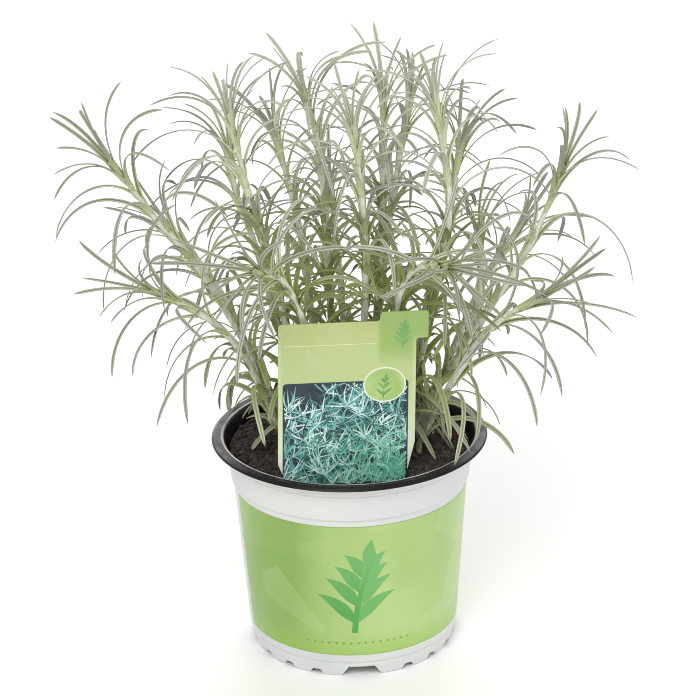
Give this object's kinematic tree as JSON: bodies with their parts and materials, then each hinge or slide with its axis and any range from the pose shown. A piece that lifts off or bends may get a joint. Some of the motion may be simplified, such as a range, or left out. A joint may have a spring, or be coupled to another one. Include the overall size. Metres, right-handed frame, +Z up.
{
  "type": "potted curry plant",
  "caption": "Bushy curry plant with woolly stems and narrow arching leaves, in a tapered nursery pot with a rolled rim, soil and a stick-in plant tag.",
  "frame": {"origin": "on the pot's axis at the lower face of its foot, which is also the bottom centre of the whole object", "axes": "+Z up along the pot's axis, -Y towards the face of the plant tag, +X to the right as seen from the front"},
  "size_m": [0.2535, 0.2068, 0.2723],
  "materials": {
    "pot": "thin formed plastic, pale outside, black inside and at the rim",
    "soil": "dark crumbly peat soil",
    "tag": "smooth printed plastic sheet",
    "foliage": "felted silvery green leaves and woolly pale stems"
  },
  "bodies": {
    "root": {"pot": "pot", "soil": "soil", "plant_tag": "tag", "leafy_stem_01": "foliage", "leafy_stem_02": "foliage", "leafy_stem_03": "foliage", "leafy_stem_04": "foliage", "leafy_stem_05": "foliage", "leafy_stem_06": "foliage", "leafy_stem_07": "foliage", "leafy_stem_08": "foliage", "leafy_stem_09": "foliage", "leafy_stem_10": "foliage", "leafy_stem_11": "foliage", "leafy_stem_12": "foliage", "leafy_stem_13": "foliage", "leafy_stem_14": "foliage", "leafy_stem_15": "foliage", "leafy_stem_16": "foliage", "leafy_stem_17": "foliage", "leafy_stem_18": "foliage"}
  },
  "joints": []
}
